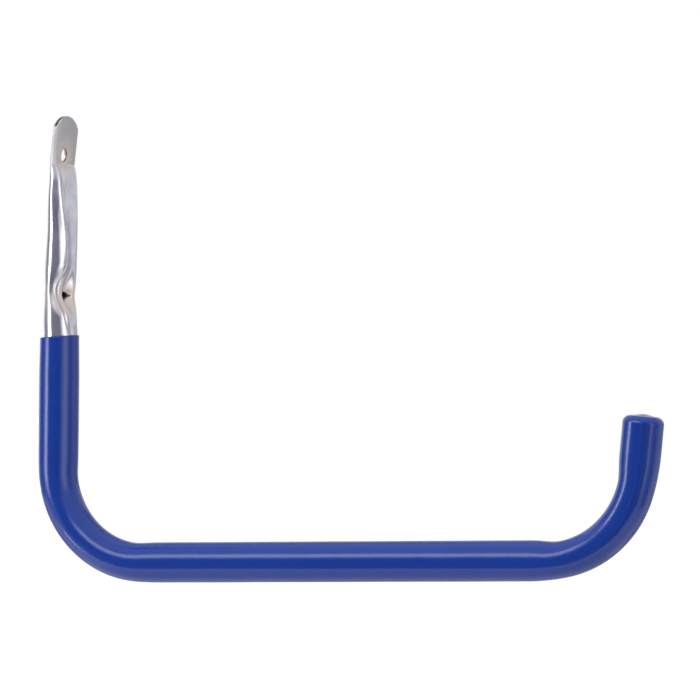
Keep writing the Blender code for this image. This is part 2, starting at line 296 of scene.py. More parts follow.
def crush_state(drop):
    """Mid-line depth at the folds, valley and perimeter, that far down from the top end."""
    opened = min(max(drop - TONGUE_LENGTH, 0.0) / CRUSH_RUN, 1.0)
    eased = opened * opened * (1 + FOLD_START) / (opened + FOLD_START)
    depth = TONGUE_DEPTH + (OPEN_DEPTH - TONGUE_DEPTH) * eased ** FOLD_POWER
    set_in = smooth_step(opened / VALLEY_SET_IN)
    run_out = smooth_step((1 - opened) / VALLEY_RUN_OUT)
    valley = TONGUE_DISH + (VALLEY_DEPTH * run_out - TONGUE_DISH) * set_in
    valley += THROAT_DEPTH * bump(drop - THROAT_DROP, THROAT_REACH)
    pinch = bump(drop - LOW_HOLE_DROP, DIMPLE_REACH)
    depth -= DIMPLE_PINCH * pinch
    valley += DIMPLE_DEPTH * pinch
    return depth, valley, MID_PERIMETER * (1 - DIMPLE_STRETCH * pinch)


def back_line(drop):
    """Mid-line of the back wall: flat on the die, dished behind the dimple, then near round."""
    dish = BACK_DISH * bump(drop - LOW_HOLE_DROP, DIMPLE_REACH)
    return max(wall_line(drop), BACK_PRESS - TUBE_RADIUS) + dish + TUBE_WALL / 2


def walk(outline, lengths, goal):
    """The point that lies a given length along a closed outline."""
    goal %= lengths[-1]
    after = min(bisect.bisect_right(lengths, goal), len(lengths) - 1)
    a, b = outline[after - 1], outline[after]
    share = (goal - lengths[after - 1]) / (lengths[after] - lengths[after - 1])
    return a[0] + (b[0] - a[0]) * share, a[1] + (b[1] - a[1]) * share


def ring_share(index):
    """Share of the way round a ring, from the middle of the back, crowded at the two sides."""
    share = index / RING_POINTS
    return share + CROWDING * math.sin(4 * math.pi * share) / (4 * math.pi)


def nearest_share(share):
    """The share of the ring point that lies nearest to a given share."""
    return min((ring_share(index) for index in range(RING_POINTS)), key=lambda near: abs(near - share))


def crease_profile(past):
    """One on the crease; it is steep on its near side and runs out gently on its far side."""
    reach = CREASE_GENTLE if past > 0 else CREASE_STEEP
    return max(1 - abs(past) / reach, 0.0) ** 2


def ridge_profile(before):
    """One on the ridge's top, falling gently away from the crease and quickly into it."""
    return bump(before - RIDGE_TOP, RIDGE_REACH if before > RIDGE_TOP else RIDGE_TOP)


def crushed_ring(drop, side, end_arc=None):
    """One ring of the crushed tube: side runs from -0.5, its inner skin, to 0.5, its outer one."""
    depth, valley, perimeter = crush_state(drop)
    outline, half_flat = crushed_outline(depth, valley, perimeter)
    lengths = [0.0]
    for a, b in zip(outline, outline[1:]):
        lengths.append(lengths[-1] + math.dist(a, b))
    near_pinch = NEAR_PINCH * bump(drop - NEAR_PINCH_DROP, NEAR_PINCH_REACH)
    near_swell = NEAR_SWELL * bump(drop - NEAR_SWELL_DROP, NEAR_SWELL_REACH)
    near_spread = NEAR_SPREAD * bump(drop - NEAR_SPREAD_DROP, NEAR_SPREAD_REACH)
    near_spread += PUNCH_SPREAD * bump(drop - PUNCH_SPREAD_DROP, PUNCH_SPREAD_REACH)
    creased = smooth_step((drop - CREASE_START) / TUBE_RADIUS) * smooth_step(
        (CRUSH_END - drop) / CREASE_FADE)
    ridge = RIDGE_HEIGHT * smooth_step((RIDGE_END - drop) / RIDGE_FADE)
    drift = CREASE_DRIFT * smooth_step((drop - LOW_HOLE_DROP) / DIMPLE_REACH + CREASE_LEAD)
    swerve = CREASE_SWERVE * bump(drop - LOW_HOLE_DROP, DIMPLE_REACH * CREASE_LEAD)
    fold_angle = math.pi / 2 + CREASE_BEARING - drift - swerve
    crease_at = lengths[-1] - half_flat - depth / 2 * fold_angle
    crease_place = nearest_share(CREASE_SHARE) * lengths[-1]
    ring = []
    for index in range(RING_POINTS):
        goal = ring_share(index) * lengths[-1]
        goal += (crease_at - crease_place) * bump(goal - crease_place, CREASE_DRAW)
        x, y = walk(outline, lengths, goal)
        before = walk(outline, lengths, goal - TANGENT_STEP)
        after = walk(outline, lengths, goal + TANGENT_STEP)
        along = Vector((after[0] - before[0], after[1] - before[1])).normalized()
        wide = y + side * TUBE_WALL * along.x
        below = drop
        if end_arc:
            below += end_arc - math.sqrt(end_arc ** 2 - (wide - END_ARC_SHIFT) ** 2)
        off_back = smooth_step(x / depth)
        deep = back_line(below) + x - side * TUBE_WALL * along.y
        deep -= near_pinch * off_back * smooth_step(0.5 - y / NEAR_PINCH_BAND)
        wide -= near_spread * smooth_step(-y / SPREAD_BAND)
        deep += near_swell * off_back * smooth_step((-y - half_flat) / NEAR_SWELL_BAND + 1)
        inwards = creased * (
            CREASE_DEPTH * crease_profile(crease_at - goal) - ridge * ridge_profile(goal - crease_at))
        deep += inwards * along.y
        wide -= inwards * along.x
        if side < 0:
            seam = back_line(below) + (TUBE_WALL + SEAM_GAP) / 2
            kept = SEAM_PRESSED + (1 - SEAM_PRESSED) * smooth_step(drop / TONGUE_LENGTH - SEAM_OPENS)
            deep = seam + (deep - seam) * kept
        past_middle = math.hypot(wide, drop - LOW_HOLE_DROP)
        deep -= HOLLOW_DEPTH * bump(past_middle, HOLLOW_REACH) * smooth_step(2 * off_back - 1)
        point = on_wall @ upright_point(below, deep, wide)
        for height, roll in ((HOLE_PITCH / 2, TOP_RIM_ROLL), (-HOLE_PITCH / 2, LOW_RIM_ROLL)):
            past_rim = math.hypot(point.y, point.z - height) - HOLE_RADIUS
            if off_back > 0.5 and (side > 0 or height < 0):
                deep -= roll * bump(max(past_rim, 0.0), RIM_ROLL_REACH)
        spot = Vector((deep, wide, below)) / WAVER_SPACING
        open_share = smooth_step((drop - TONGUE_LENGTH) / TONGUE_LENGTH)
        closing = smooth_step((CRUSH_END - drop) / TUBE_RADIUS)
        waver = WAVER * noise.noise(spot) * off_back * open_share * closing
        ring.append(on_wall @ upright_point(below, deep + waver * along.y, wide + waver * along.x))
    return ring


def oval_ring(distance, depth_radius, width_radius, shift=0.0, tilt=0.0):
    """An oval ring across the tube; a tilt slides its front up and its back down the tube."""
    ring = []
    for index in range(RING_POINTS):
        angle = 2 * math.pi * ring_share(index)
        depth = shift - depth_radius * math.cos(angle)
        width = width_radius * math.sin(angle)
        ring.append(on_wall @ upright_point(distance - depth * tilt, depth, width))
    return ring


def as_object(name, shape):
    """An object of the scene, made from a bmesh, which is freed."""
    mesh = bpy.data.meshes.new(name)
    shape.to_mesh(mesh)
    shape.free()
    made = bpy.data.objects.new(name, mesh)
    bpy.context.scene.collection.objects.link(made)
    return made


def skin_over(name, rings, looped=False, poles=()):
    """A closed skin: circles laid on the rings, bridged in turn, with a fan to each pole."""
    skin = bmesh.new()
    places = {}
    rows = []
    travelled = 0.0
    last_middle = None
    for points in rings:
        made = bmesh.ops.create_circle(skin, segments=RING_POINTS, radius=1.0)["verts"]
        middle = sum(points, Vector()) / RING_POINTS
        if last_middle is not None:
            travelled += (middle - last_middle).length
        last_middle = middle
        for index, (vertex, point) in enumerate(zip(made, points)):
            vertex.co = point
            places[vertex] = (ring_share(index), travelled)
        rows.append(made)
    edges = [list({edge for vertex in row for edge in vertex.link_edges}) for row in rows]
    pairs = list(zip(edges, edges[1:]))
    if looped:
        pairs.append((edges[-1], edges[0]))
    for row, following in pairs:
        bmesh.ops.bridge_loops(skin, edges=row + following)
    for row, pole in poles:
        fan = bmesh.ops.contextual_create(skin, geom=edges[row])["faces"]
        centre = bmesh.ops.poke(skin, faces=fan)["verts"][0]
        centre.co = pole
        places[centre] = (0.5, places[rows[row][0]][1])
    bmesh.ops.recalc_face_normals(skin, faces=skin.faces)
    if skin.calc_volume(signed=True) < 0:
        bmesh.ops.reverse_faces(skin, faces=skin.faces)
    along_tube = skin.loops.layers.uv.new("along_tube")
    for face in skin.faces:
        shares = [places[loop.vert][0] for loop in face.loops]
        for loop, share in zip(face.loops, shares):
            turned = share + 1.0 if share < 0.25 and max(shares) > 0.75 else share
            loop[along_tube].uv = (turned * MID_PERIMETER, places[loop.vert][1])
    return as_object(name, skin)


_, tongue_half_flat = crushed_outline(*crush_state(0.0))
tongue_half_width = tongue_half_flat + (TONGUE_DEPTH + TUBE_WALL) / 2
end_arc = tongue_half_width + END_ARC_EXCESS
arc_drop = end_arc - math.sqrt(end_arc ** 2 - (tongue_half_width - END_ARC_SHIFT) ** 2)

lip_drop = LIP_DROP * END_EDGE
outer_rings = [
    crushed_ring(lip_drop, LIP_SHARE, end_arc), crushed_ring(END_EDGE, OUTER_SKIN, end_arc)]
inner_rings = [
    crushed_ring(lip_drop, -LIP_SHARE, end_arc), crushed_ring(END_EDGE, INNER_SKIN, end_arc)]
end_rings = [crushed_ring(0.0, LAND_SHARE, end_arc), crushed_ring(0.0, -LAND_SHARE, end_arc)]
tongue_start = arc_drop + 2 * TUBE_WALL
for drop in stations(tongue_start, CRUSH_END, CRUSH_STEP):
    outer_rings.append(crushed_ring(drop, OUTER_SKIN))
    inner_rings.append(crushed_ring(drop, INNER_SKIN))
for distance in round_stretch(BARE_LENGTH + TUBE_DIAMETER) + [TUBE_END]:
    kept = depth_kept(distance)
    outer_rings.append(oval_ring(distance, TUBE_RADIUS * kept, TUBE_RADIUS))
    inner_rings.append(oval_ring(distance, TUBE_RADIUS * kept - TUBE_WALL, BORE_RADIUS))
tube_rings = [end_rings[0]] + outer_rings + inner_rings[::-1] + [end_rings[1]]
steel_tube = skin_over("zinc_plated_tube", tube_rings, looped=True)

# The two holes are punched through both walls, square to the wall that the hook hangs on. At the
# lower one the front wall tore into a three-cornered hole, and the metal beyond its edges stayed.
PUNCH_POINTS = 96
PUNCH_SPLIT = 0.0040        # between the back wall and the dimpled front
PUNCH_LENGTH = 0.0200
BURST_RADIUS = 0.0030       # the punch came out of the tongue's back a little wider
TORN_RADIUS = 0.0028        # reach of the torn hole's corners
TEAR_RISE = 0.0007          # its middle lies this much above the punch's
TORN_EDGES = (              # bearing and distance of its straight edges
    (math.radians(56), 0.00185),
    (math.radians(-42), 0.00095),
    (math.radians(180), 0.00190),
)
RAGGED = 0.00012            # unevenness of those edges
RAGGED_LOBES = 7


def punch(piece, name, height, low, high, hole_radius=HOLE_RADIUS, torn=False):
    """Cut a hole with a prism whose outline is a circle, or a circle cut by the torn edges."""
    prism = bmesh.new()
    bmesh.ops.create_cone(
        prism, cap_ends=True, segments=PUNCH_POINTS, radius1=1.0, radius2=1.0, depth=1.0)
    for vertex in prism.verts:
        angle = math.atan2(vertex.co.y, vertex.co.x)
        radius = hole_radius
        if torn:
            for bearing, offset in TORN_EDGES:
                towards_edge = math.cos(angle - bearing)
                if towards_edge > 0:
                    radius = min(radius, offset / towards_edge)
            radius += RAGGED * math.sin(RAGGED_LOBES * angle)
        vertex.co = Vector((
            high if vertex.co.z > 0 else low, radius * math.cos(angle),
            height + radius * math.sin(angle)))
    bmesh.ops.recalc_face_normals(prism, faces=prism.faces)
    cutter = as_object(name, prism)
    cut = piece.modifiers.new(name, "BOOLEAN")
    cut.operation = "DIFFERENCE"
    cut.solver = "EXACT"
    cut.object = cutter
    bpy.context.view_layer.objects.active = piece
    bpy.ops.object.modifier_apply(modifier=name)
    bpy.data.objects.remove(cutter, do_unlink=True)


seam_place = TUBE_WALL + SEAM_GAP / 2
punch(steel_tube, "top_punch_back", HOLE_PITCH / 2, -PUNCH_LENGTH, seam_place, BURST_RADIUS)
punch(steel_tube, "top_punch_front", HOLE_PITCH / 2, seam_place, PUNCH_LENGTH)
punch(steel_tube, "low_punch_back", -HOLE_PITCH / 2, -PUNCH_LENGTH, PUNCH_SPLIT)
punch(
    steel_tube, "low_punch_front", TEAR_RISE - HOLE_PITCH / 2, PUNCH_SPLIT, PUNCH_LENGTH, TORN_RADIUS,
    torn=True)
STEEL_SHARP_ANGLE = math.radians(34)
steel_tube.data.shade_smooth()
steel_tube.data.set_sharp_from_angle(angle=STEEL_SHARP_ANGLE)


def add_node(tree, kind, sockets=None, **settings):
    """A shader node with its settings, and with its sockets set to values or linked."""
    node = tree.nodes.new(kind)
    for name, value in settings.items():
        setattr(node, name, value)
    for name, value in (sockets or {}).items():
        if isinstance(value, bpy.types.NodeSocket):
            tree.links.new(value, node.inputs[name])
        else:
            node.inputs[name].default_value = value
    return node


def add_ramp(tree, factor, ends):
    """A mask that is zero up to the first end of the ramp, and one from its second end on."""
    node = add_node(tree, "ShaderNodeValToRGB", {"Fac": factor})
    for element, end in zip(node.color_ramp.elements, ends):
        element.position = end
    return node.outputs["Color"]


def add_fade(tree, value, start, end, at_start=1.0, at_end=0.0, eased=False):
    """A mask that goes from one value at the start to another at the end, and stays at it."""
    fade = add_node(tree, "ShaderNodeMapRange", {
        "Value": value, "From Min": start, "From Max": end, "To Min": at_start, "To Max": at_end},
        interpolation_type="SMOOTHSTEP" if eased else "LINEAR")
    return fade.outputs["Result"]


def add_mix(tree, factor, first, second):
    """Mix two colours; each is a colour or a socket."""
    node = add_node(tree, "ShaderNodeMix", data_type="RGBA")
    for name, value in (("Factor", factor), ("A", first), ("B", second)):
        socket = next(item for item in node.inputs if item.name == name and item.enabled)
        if isinstance(value, bpy.types.NodeSocket):
            tree.links.new(value, socket)
        else:
            socket.default_value = value if name == "Factor" else (*value, 1.0)
    return next(item for item in node.outputs if item.enabled)


def add_math(tree, operation, *values):
    """A math node on one or two values; each is a number or a socket."""
    node = add_node(tree, "ShaderNodeMath", operation=operation)
    for socket, value in zip(node.inputs, values):
        if isinstance(value, bpy.types.NodeSocket):
            tree.links.new(value, socket)
        else:
            socket.default_value = value
    return node.outputs[0]


def new_material(name):
    """A material, its node tree and its surface shader."""
    material = bpy.data.materials.new(name)
    material.use_nodes = True
    tree = material.node_tree
    return material, tree, tree.nodes["Principled BSDF"]


def two_layer_relief():
    """A node group: a fine noise on a coarse one, each as a mask, and both as one bumped normal."""
    group = bpy.data.node_groups.new("two_layer_relief", "ShaderNodeTree")
    inlet = group.nodes.new("NodeGroupInput")
    outlet = group.nodes.new("NodeGroupOutput")
    for layer in ("Fine", "Coarse"):
        group.interface.new_socket(f"{layer} Vector", in_out="INPUT", socket_type="NodeSocketVector")
        for value in ("Scale", "Detail", "Roughness", "Strength", "Distance"):
            group.interface.new_socket(
                f"{layer} {value}", in_out="INPUT", socket_type="NodeSocketFloat")
        group.interface.new_socket(layer, in_out="OUTPUT", socket_type="NodeSocketFloat")
    group.interface.new_socket("Normal", in_out="OUTPUT", socket_type="NodeSocketVector")
    beneath = {}
    for layer in ("Fine", "Coarse"):
        texture = add_node(group, "ShaderNodeTexNoise", {
            name: inlet.outputs[f"{layer} {name}"]
            for name in ("Vector", "Scale", "Detail", "Roughness")})
        raised = add_node(group, "ShaderNodeBump", {
            "Height": texture.outputs["Fac"], "Strength": inlet.outputs[f"{layer} Strength"],
            "Distance": inlet.outputs[f"{layer} Distance"], **beneath})
        beneath = {"Normal": raised.outputs["Normal"]}
        group.links.new(texture.outputs["Fac"], outlet.inputs[layer])
    group.links.new(beneath["Normal"], outlet.inputs["Normal"])
    return group


relief_group = two_layer_relief()

# Zinc plate is a cool white metal. Drawing left faint lines along the tube, the die pressed it greyer,
# and the punch left dull brownish patches round the holes. Painted shade darkens the crease, the top
# hole's cut edge and the inside of the tube.
ZINC_WHITE = (0.54, 0.54, 0.60)
ZINC_GREY = (0.43, 0.43, 0.49)
ZINC_BEIGE = (0.55, 0.47, 0.43)
ZINC_PRESSED = (0.47, 0.455, 0.47)
# dark brown: dirt for the specks, and painted shade on the top hole's cut edge
GRIME_AND_HOLE_SHADE = (0.16, 0.13, 0.11)
# a brownish painted shade, laid along the crease
CREASE_PAINTED_SHADE = (0.27, 0.215, 0.19)
BORE_SHADE = (0.07, 0.06, 0.055)    # the inside of the tube, painted near black as the shade in the bore
ZINC_METALLIC = 0.82
LINES_ACROSS = 5000.0       # drawn lines, across and along the unrolled tube
LINES_ALONG = 90.0
ZINC_RELIEF = {             # the drawn lines on faint clouds
    "Fine Scale": 1.0, "Fine Detail": 4.0, "Fine Roughness": 0.6,
    "Fine Strength": 0.10, "Fine Distance": 0.00006,
    "Coarse Scale": 160.0, "Coarse Detail": 5.0, "Coarse Roughness": 0.55,
    "Coarse Strength": 0.20, "Coarse Distance": 0.0002,
}
CLOUD_ENDS = (0.35, 0.65)
SPECKS = {"Scale": 900.0, "Detail": 3.0, "Roughness": 0.6}
SPECK_ENDS = (0.70, 0.76)
SPECK_SHARE = 0.6
TOP_MARK_REACH = 0.0095     # dull patches round the two holes
LOW_MARK_REACH = 0.0100
MARK_EVEN = 0.35            # their even part, to which the clouds are added
CUT_EDGE_NEAR = 0.00003     # painted shade on the top hole's cut edge ends between these, just past its rim
CUT_EDGE_FAR = 0.00012
PRESSED_END = 0.0130        # the tongue's pressed grey fades out between these
PRESSED_GONE = 0.0240
PRESSED_SHARE = 0.8
CREASE_SHADE_NEAR = 0.0002         # half the width of the crease's painted shade, and of its faded edge
CREASE_SHADE_FAR = 0.0009
CREASE_SHADE_SHARE = 0.90
CREASE_SHADE_GROWS = 0.004         # it sets in over this length
CREASE_SHADE_THINNING = 0.050         # it thins to half beside the punch
CREASE_SHADE_THINNED = 0.062
CREASE_SHADE_THINNED_SHARE = 0.5
FOLD_MIDDLE = 0.0015        # the tongue's near fold, round from the crease, and its dulled band
FOLD_BAND = 0.0022
FOLD_BAND_GONE = 0.0040
DULL_PLATE = 0.13           # roughness of the plate, and what marks, strain and lines add to it
DULL_MARKS = 0.34
DULL_FOLD = 0.42
DULL_LINES = 0.10
zinc, tree, shader = new_material("zinc_plated_steel")
place = add_node(tree, "ShaderNodeTexCoord")
unrolled = add_node(tree, "ShaderNodeUVMap", uv_map="along_tube").outputs["UV"]
strokes = add_node(tree, "ShaderNodeMapping", {
    "Vector": unrolled, "Scale": (LINES_ACROSS, LINES_ALONG, 1.0)})
relief = add_node(tree, "ShaderNodeGroup", {
    "Fine Vector": strokes.outputs["Vector"], "Coarse Vector": place.outputs["Object"],
    **ZINC_RELIEF}, node_tree=relief_group)
spots = add_node(tree, "ShaderNodeTexNoise", {"Vector": place.outputs["Object"], **SPECKS})


def around_hole(tree, height, reach, rim=HOLE_RADIUS):
    """A mask that is one inside a hole's rim and fades out at the reach."""
    moved = add_node(tree, "ShaderNodeMapping", {
        "Vector": place.outputs["Object"], "Location": (0.0, 0.0, -height),
        "Scale": (0.0, 1.0, 1.0)})
    distance = add_node(tree, "ShaderNodeVectorMath", {0: moved.outputs["Vector"]}, operation="LENGTH")
    return add_fade(tree, distance.outputs["Value"], rim, reach, eased=True)


hole_marks = add_math(
    tree, "MAXIMUM", around_hole(tree, HOLE_PITCH / 2, TOP_MARK_REACH),
    around_hole(tree, -HOLE_PITCH / 2, LOW_MARK_REACH))
cloud = add_ramp(tree, relief.outputs["Coarse"], CLOUD_ENDS)
plate = add_mix(tree, cloud, ZINC_WHITE, ZINC_GREY)
on_tube = add_node(tree, "ShaderNodeSeparateXYZ", {"Vector": unrolled})
up_tongue = add_fade(tree, on_tube.outputs["Y"], PRESSED_END, PRESSED_GONE, eased=True)
pressed = add_math(tree, "MULTIPLY", up_tongue, PRESSED_SHARE)
plate = add_mix(tree, pressed, plate, ZINC_PRESSED)
patchy = add_math(
    tree, "MULTIPLY", hole_marks, add_math(tree, "ADD", MARK_EVEN, relief.outputs["Coarse"]))
plate = add_mix(tree, patchy, plate, ZINC_BEIGE)
# Painted shade along the crease: a band round it that sets in below the tongue and thins beside the
# punch.
crease_u = nearest_share(CREASE_SHARE) * MID_PERIMETER
off_crease = add_math(tree, "ABSOLUTE", add_math(
    tree, "SUBTRACT", on_tube.outputs["X"], crease_u))
crease_shade_band = add_fade(tree, off_crease, CREASE_SHADE_NEAR, CREASE_SHADE_FAR, CREASE_SHADE_SHARE, eased=True)
along_crease = add_fade(
    tree, on_tube.outputs["Y"], CREASE_START, CREASE_START + CREASE_SHADE_GROWS, 0.0, 1.0)
by_punch = add_fade(
    tree, on_tube.outputs["Y"], CREASE_SHADE_THINNING, CREASE_SHADE_THINNED, at_end=CREASE_SHADE_THINNED_SHARE)
crease_shaded = add_math(tree, "MULTIPLY", crease_shade_band, along_crease)
crease_shaded = add_math(tree, "MULTIPLY", crease_shaded, by_punch)
plate = add_mix(tree, crease_shaded, plate, CREASE_PAINTED_SHADE)
# Painted shade on the top hole's cut edge, the wall of the hole.
hole_edge_shade = around_hole(
    tree, HOLE_PITCH / 2, HOLE_RADIUS + CUT_EDGE_FAR, HOLE_RADIUS + CUT_EDGE_NEAR)
plate = add_mix(tree, hole_edge_shade, plate, GRIME_AND_HOLE_SHADE)
# The inside of the tube is painted near black, as its shade.
inside = add_math(tree, "GREATER_THAN", on_tube.outputs["Y"], TUBE_END + TUBE_DIAMETER)
plate = add_mix(tree, inside, plate, BORE_SHADE)
speck = add_ramp(tree, spots.outputs["Fac"], SPECK_ENDS)
plate = add_mix(tree, add_math(tree, "MULTIPLY", speck, SPECK_SHARE), plate, GRIME_AND_HOLE_SHADE)
tree.links.new(plate, shader.inputs["Base Color"])
shader.inputs["Metallic"].default_value = ZINC_METALLIC
off_near_fold = add_math(tree, "ABSOLUTE", add_math(
    tree, "SUBTRACT", on_tube.outputs["X"], crease_u + FOLD_MIDDLE))
near_fold = add_fade(tree, off_near_fold, FOLD_BAND, FOLD_BAND_GONE)
strained = add_math(tree, "MULTIPLY", near_fold, up_tongue)
roughness = DULL_PLATE
for mask, added in ((patchy, DULL_MARKS), (strained, DULL_FOLD), (relief.outputs["Fine"], DULL_LINES)):
    roughness = add_math(tree, "ADD", roughness, add_math(tree, "MULTIPLY", mask, added))
tree.links.new(roughness, shader.inputs["Roughness"])
tree.links.new(relief.outputs["Normal"], shader.inputs["Normal"])
steel_tube.data.materials.clear()
steel_tube.data.materials.append(zinc)
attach(steel_tube, "root")
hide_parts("steel_tube")


# Vinyl coat
# The bent tube was heated and dipped in blue vinyl, which set into one glossy, slightly wavy skin.
# It ends in a nearly square rim that slants across the shank, and is closed over the tip, where
# the last drop left a small nub as it drained.
RIM_RUN = 0.0150            # the coat reaches its full wall over this length
RIM_ROUND = 0.00035
RIM_RINGS = 5
RIM_SKIRT = 4 * RIM_ROUND   # the even rings start this far below the rim
COAT_END_WALL = 0.0012
COAT_END = TUBE_END + BOND_GAP + COAT_END_WALL
TIP_ROUND = 0.0027
TIP_RINGS = 12
NUB_RADIUS = 0.0034
NUB_HEIGHT = 0.00070
NUB_RINGS = 8
COAT_WAVER = 0.00007        # unevenness of the dipped skin, always inwards
COAT_WAVER_SPACING = 0.0110
COAT_WAVER_ALONG = 0.6      # its waves are longer along the arm
COAT_STEP = 0.0016
NUB_SPREAD = 1.5            # the nub's foot is this much wider than the nub
COAT_SHARP_ANGLE = math.radians(50)


def wavered(ring):
    """Draw each point of a coat ring in towards its middle by the skin's unevenness."""
    middle = sum(ring, Vector()) / RING_POINTS
    drawn = []
    for point in ring:
        spot = point / COAT_WAVER_SPACING
        spot.x *= COAT_WAVER_ALONG
        depth = COAT_WAVER * (0.5 + 0.5 * noise.noise(spot))
        drawn.append(point + (middle - point).normalized() * depth)
    return drawn


def coat_ring(distance):
    """A ring of the coat's outer skin: thinner by its rim, oval in the bends."""
    thinning = RIM_THINNING * (1 - smooth_step((distance - BARE_LENGTH) / RIM_RUN))
    wall = BOND_GAP + COAT_WALL - thinning
    depth_radius = TUBE_RADIUS * depth_kept(distance) + wall
    return wavered(oval_ring(distance, depth_radius, TUBE_RADIUS + wall, shift=-COAT_SHIFT))


inner_end = TUBE_END + BOND_GAP
coat_rings = [oval_ring(inner_end, SLEEVE_RADIUS / 2, SLEEVE_RADIUS / 2)]
coat_rings.append(oval_ring(inner_end, SLEEVE_RADIUS, SLEEVE_RADIUS))
for distance in reversed(round_stretch(BARE_LENGTH + RIM_RUN)):
    depth_radius = TUBE_RADIUS * depth_kept(distance) + BOND_GAP
    coat_rings.append(oval_ring(distance, depth_radius, SLEEVE_RADIUS))
for step in range(RIM_RINGS + 1):
    angle = math.pi / 2 * step / RIM_RINGS
    inner_radius = SLEEVE_RADIUS + RIM_ROUND / 2 * (1 - math.cos(angle))
    below = BARE_LENGTH + RIM_ROUND / 2 * (1 - math.sin(angle))
    coat_rings.append(oval_ring(below, inner_radius, inner_radius, tilt=RIM_TILT))
for step in range(RIM_RINGS + 1):
    angle = math.pi / 2 * step / RIM_RINGS
    radius = RIM_RADIUS - RIM_ROUND * (1 - math.sin(angle))
    below = BARE_LENGTH + RIM_ROUND * (1 - math.cos(angle))
    coat_rings.append(oval_ring(below, radius, radius, shift=-COAT_SHIFT, tilt=RIM_TILT))
for distance in stations(BARE_LENGTH + RIM_SKIRT, REAR_BEND_START, COAT_STEP):
    coat_rings.append(coat_ring(distance))
for start, end, step in (
        (REAR_BEND_START, ARM_START, BEND_STEP), (ARM_START, ARM_END, COAT_STEP),
        (ARM_END, TIP_START, BEND_STEP), (TIP_START, COAT_END - TIP_ROUND, COAT_STEP)):
    for distance in stations(start, end, step)[1:]:
        coat_rings.append(coat_ring(distance))
for step in range(1, TIP_RINGS + 1):
    angle = math.pi / 2 * step / TIP_RINGS
    radius = COAT_RADIUS - TIP_ROUND * (1 - math.cos(angle))
    distance = COAT_END - TIP_ROUND * (1 - math.sin(angle))
    coat_rings.append(wavered(oval_ring(distance, radius, radius, shift=-COAT_SHIFT)))
for step in range(NUB_RINGS + 1):
    share = step / (NUB_RINGS + 1)
    height = NUB_HEIGHT * smooth_step(share)
    radius = NUB_RADIUS * NUB_SPREAD * (1 - share)
    coat_rings.append(oval_ring(COAT_END + height, radius, radius, shift=-COAT_SHIFT))
inner_pole = on_wall @ upright_point(inner_end, 0.0, 0.0)
tip_pole = on_wall @ upright_point(COAT_END + NUB_HEIGHT, -COAT_SHIFT, 0.0)
vinyl_coat = skin_over(
    "dipped_vinyl_coat", coat_rings, poles=((0, inner_pole), (len(coat_rings) - 1, tip_pole)))
vinyl_coat.data.shade_smooth()
vinyl_coat.data.set_sharp_from_angle(angle=COAT_SHARP_ANGLE)

# Pigment shows a little unevenly through the clear top of the skin, which has the faint orange
# peel and the long soft sags of a dipped finish.
VINYL_BLUE = (0.0046, 0.0300, 0.2230)
VINYL_DEEP = (0.0036, 0.0260, 0.1970)
VINYL_IOR = 1.44
SHINE = (0.14, 0.24)        # roughness, from the peel's hollows to its crests
PIGMENT = {"Scale": 45.0, "Detail": 3.0, "Roughness": 0.5}
VINYL_RELIEF = {            # the orange peel on the sags
    "Fine Scale": 420.0, "Fine Detail": 2.0, "Fine Roughness": 0.5,
    "Fine Strength": 0.12, "Fine Distance": 0.0001,
    "Coarse Scale": 110.0, "Coarse Detail": 2.0, "Coarse Roughness": 0.4,
    "Coarse Strength": 0.25, "Coarse Distance": 0.0003,
}
vinyl, tree, shader = new_material("dipped_vinyl")
place = add_node(tree, "ShaderNodeTexCoord")
pigment = add_node(tree, "ShaderNodeTexNoise", {"Vector": place.outputs["Object"], **PIGMENT})
relief = add_node(tree, "ShaderNodeGroup", {
    "Fine Vector": place.outputs["Object"], "Coarse Vector": place.outputs["Object"],
    **VINYL_RELIEF}, node_tree=relief_group)
tree.links.new(
    add_mix(tree, pigment.outputs["Fac"], VINYL_DEEP, VINYL_BLUE), shader.inputs["Base Color"])
rough = add_fade(tree, relief.outputs["Fine"], 0.0, 1.0, *SHINE)
tree.links.new(rough, shader.inputs["Roughness"])
tree.links.new(relief.outputs["Normal"], shader.inputs["Normal"])
shader.inputs["IOR"].default_value = VINYL_IOR
vinyl_coat.data.materials.clear()
vinyl_coat.data.materials.append(vinyl)
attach(vinyl_coat, "root")
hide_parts("vinyl_coating")


# Studio
# The hook hangs clear of a wide pale floor, before a white surround, under soft lights. The cards
# round it show only in reflections: a folded black one in front, a grey one to the left, pale ones
# to the right and behind, and a small black one beside the tip.
FLOOR_DROP = 0.62
FLOOR_REACH = 12.0
FLOOR_SIDES = 96
FLOOR_PAPER = (0.72, 0.72, 0.72, 1.0)
PAPER_ROUGHNESS = 0.9
NEAR_LIFT = 0.20            # the paper's own white, weak below the hook so that its shadow stays
FAR_LIFT = 0.60
NEAR_REACH = 0.20           # it grows between these distances from the spot below the hook
FAR_REACH = 0.80
WHITE = (1.0, 1.0, 1.0, 1.0)


def seen_directly(tree):
    """One for rays that come from the camera, and for those that metal or glass sends on."""
    path = add_node(tree, "ShaderNodeLightPath")
    bounced = add_math(
        tree, "MAXIMUM", path.outputs["Is Glossy Ray"], path.outputs["Is Transmission Ray"])
    return add_math(tree, "MAXIMUM", path.outputs["Is Camera Ray"], bounced)


